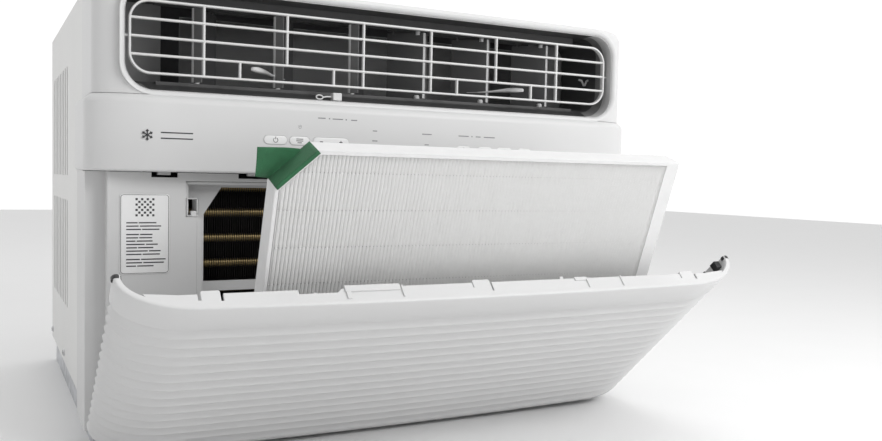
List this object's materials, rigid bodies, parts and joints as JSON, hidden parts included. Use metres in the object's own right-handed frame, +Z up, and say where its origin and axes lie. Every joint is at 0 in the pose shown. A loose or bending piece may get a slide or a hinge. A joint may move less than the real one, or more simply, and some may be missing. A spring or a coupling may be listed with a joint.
{
  "type": "window air conditioner",
  "caption": "Window air conditioner with a hanging fluted intake panel, a part-lifted pleated filter, a tilting outlet grille, aimable vanes and push buttons.",
  "frame": {"origin": "middle of the base pan's underside", "axes": "+Z up, room side towards -Y, +X to the right of a person facing the front"},
  "size_m": [0.47, 0.5264, 0.34],
  "materials": {
    "shell_plastic": "satin light grey, fine moulded texture",
    "intake_plastic": "satin mid grey",
    "grille_plastic": "satin light grey",
    "duct_plastic": "dull black",
    "vane_plastic": "dark grey satin",
    "filter_media": "matt paper fibre",
    "green_ribbon": "woven ribbon",
    "black_rubber": "matt",
    "fin_metal": "dark coated fins",
    "copper": "dull copper tube",
    "galvanised": "galvanised sheet",
    "painted_sheet": "satin paint on sheet",
    "black_paint": "semi-gloss black",
    "foam": "dark moulded foam",
    "circuit_board": "green board",
    "steel": "turned steel",
    "label_paper": "printed film"
  },
  "bodies": {
    "housing": {"front_bezel": "shell_plastic", "control_fascia": "shell_plastic", "control_board": "circuit_board", "intake_frame": "shell_plastic", "filter_recess": "intake_plastic", "latch_catch_left": "shell_plastic", "latch_catch_middle": "shell_plastic", "latch_catch_right": "shell_plastic", "info_label": "label_paper", "base_pan": "galvanised", "drain_plug": "black_rubber", "cabinet": "painted_sheet", "rear_guard": "painted_sheet", "bulkhead": "galvanised", "air_duct": "duct_plastic", "vane_rail_lower": "duct_plastic", "vane_rail_upper": "duct_plastic", "outlet_sensor": "shell_plastic", "hinge_bracket_left": "intake_plastic", "hinge_bracket_right": "intake_plastic", "evaporator_fins": "fin_metal", "evaporator_tube": "copper", "scroll_housing": "foam", "fan_motor": "black_paint", "motor_bracket": "galvanised", "condenser_coil": "fin_metal", "fan_shroud": "galvanised", "compressor": "black_paint", "compressor_mount": "black_rubber", "accumulator": "copper", "discharge_pipe": "copper", "control_box": "intake_plastic", "cord_gland": "black_rubber"},
    "panel": {"front_panel": "shell_plastic", "panel_clip": "black_paint", "carriage_rail_left": "shell_plastic", "carriage_rail_right": "shell_plastic"},
    "carriage": {"filter_carriage": "shell_plastic"},
    "filter": {"filter_frame": "filter_media", "filter_media": "filter_media", "filter_pull_tab": "green_ribbon"},
    "grille": {"louver_grid": "grille_plastic"},
    "fan": {"fan_shaft": "steel", "blower_wheel": "duct_plastic", "condenser_fan": "duct_plastic"},
    "link_left": {"vane_link_left": "duct_plastic"},
    "link_right": {"vane_link_right": "duct_plastic"},
    "vane_1_body": {"vane_1": "vane_plastic"},
    "vane_2_body": {"vane_2": "vane_plastic"},
    "vane_3_body": {"vane_3": "vane_plastic"},
    "vane_4_body": {"vane_4": "vane_plastic"},
    "vane_5_body": {"vane_5": "vane_plastic"},
    "vane_6_body": {"vane_6": "vane_plastic"},
    "power_button_body": {"power_button": "shell_plastic"},
    "mode_button_body": {"mode_button": "shell_plastic"},
    "temperature_rocker_body": {"temperature_rocker": "shell_plastic"},
    "fan_button_body": {"fan_button": "shell_plastic"},
    "sleep_button_body": {"sleep_button": "shell_plastic"},
    "timer_button_body": {"timer_button": "shell_plastic"},
    "eco_button_body": {"eco_button": "shell_plastic"}
  },
  "joints": [
    {"name": "panel_open", "type": "hinge", "parent": "housing", "child": "panel", "pos_m": [0, -0.1737, 0.0103], "axis": [1, 0, 0], "range_deg": [-48, 0]},
    {"name": "filter_lift", "type": "slide", "parent": "panel", "child": "carriage", "axis": [0, -0.7431, 0.6691], "range_m": [-0.09661, 0.0001]},
    {"name": "filter_tilt", "type": "hinge", "parent": "carriage", "child": "filter", "pos_m": [0, -0.27804, 0.10559], "axis": [1, 0, 0], "range_deg": [-0.1, 28.01]},
    {"name": "grille_tilt", "type": "hinge", "parent": "housing", "child": "grille", "pos_m": [0, -0.177, 0.29765], "axis": [1, 0, 0], "range_deg": [-12, 12]},
    {"name": "vane_2_swing", "type": "hinge", "parent": "housing", "child": "vane_2_body", "pos_m": [-0.0922, -0.152, 0.2971], "axis": [0, 0, 1], "range_deg": [-5, 95]},
    {"name": "vane_1_swing", "type": "hinge", "parent": "housing", "child": "vane_1_body", "pos_m": [-0.1545, -0.152, 0.2971], "axis": [0, 0, 1], "range_deg": [-5, 95]},
    {"name": "vane_3_swing", "type": "hinge", "parent": "housing", "child": "vane_3_body", "pos_m": [-0.0299, -0.152, 0.2971], "axis": [0, 0, 1], "range_deg": [-5, 95]},
    {"name": "link_left_pin", "type": "hinge", "parent": "vane_2_body", "child": "link_left", "pos_m": [-0.07664, -0.13644, 0.327], "axis": [0, 0, 1], "range_deg": [-95, 5]},
    {"name": "vane_5_swing", "type": "hinge", "parent": "housing", "child": "vane_5_body", "pos_m": [0.0922, -0.152, 0.2971], "axis": [0, 0, 1], "range_deg": [-104, 0]},
    {"name": "vane_4_swing", "type": "hinge", "parent": "housing", "child": "vane_4_body", "pos_m": [0.0299, -0.152, 0.2971], "axis": [0, 0, 1], "range_deg": [-104, 0]},
    {"name": "vane_6_swing", "type": "hinge", "parent": "housing", "child": "vane_6_body", "pos_m": [0.1545, -0.152, 0.2971], "axis": [0, 0, 1], "range_deg": [-104, 0]},
    {"name": "link_right_pin", "type": "hinge", "parent": "vane_5_body", "child": "link_right", "pos_m": [0.07486, -0.13845, 0.327], "axis": [0, 0, 1], "range_deg": [0, 104]},
    {"name": "fan_spin", "type": "hinge", "parent": "housing", "child": "fan", "pos_m": [-0.012, 0, 0.15], "axis": [0, 1, 0], "continuous": true},
    {"name": "power_button_press", "type": "slide", "parent": "housing", "child": "power_button_body", "axis": [0, 1, 0], "range_m": [0, 0.001], "stiffness_N_per_m": 400},
    {"name": "mode_button_press", "type": "slide", "parent": "housing", "child": "mode_button_body", "axis": [0, 1, 0], "range_m": [0, 0.001], "stiffness_N_per_m": 400},
    {"name": "temperature_rock", "type": "hinge", "parent": "housing", "child": "temperature_rocker_body", "pos_m": [-0.06225, -0.19059, 0.22805], "axis": [0, 0, 1], "range_deg": [-2.5, 2.5], "stiffness_Nm_per_rad": 0.3},
    {"name": "fan_button_press", "type": "slide", "parent": "housing", "child": "fan_button_body", "axis": [0, 1, 0], "range_m": [0, 0.001], "stiffness_N_per_m": 400},
    {"name": "sleep_button_press", "type": "slide", "parent": "housing", "child": "sleep_button_body", "axis": [0, 1, 0], "range_m": [0, 0.001], "stiffness_N_per_m": 400},
    {"name": "timer_button_press", "type": "slide", "parent": "housing", "child": "timer_button_body", "axis": [0, 1, 0], "range_m": [0, 0.001], "stiffness_N_per_m": 400},
    {"name": "eco_button_press", "type": "slide", "parent": "housing", "child": "eco_button_body", "axis": [0, 1, 0], "range_m": [0, 0.001], "stiffness_N_per_m": 400}
  ],
  "couplings": [
    {"joint": "filter_lift", "follows": "panel_open", "m_per_rad": 0.11531},
    {"joint": "filter_tilt", "follows": "panel_open", "ratio": -0.58333},
    {"joint": "vane_1_swing", "follows": "vane_2_swing", "ratio": 1},
    {"joint": "vane_3_swing", "follows": "vane_2_swing", "ratio": 1},
    {"joint": "link_left_pin", "follows": "vane_2_swing", "ratio": -1},
    {"joint": "vane_4_swing", "follows": "vane_5_swing", "ratio": 1},
    {"joint": "vane_6_swing", "follows": "vane_5_swing", "ratio": 1},
    {"joint": "link_right_pin", "follows": "vane_5_swing", "ratio": -1}
  ]
}
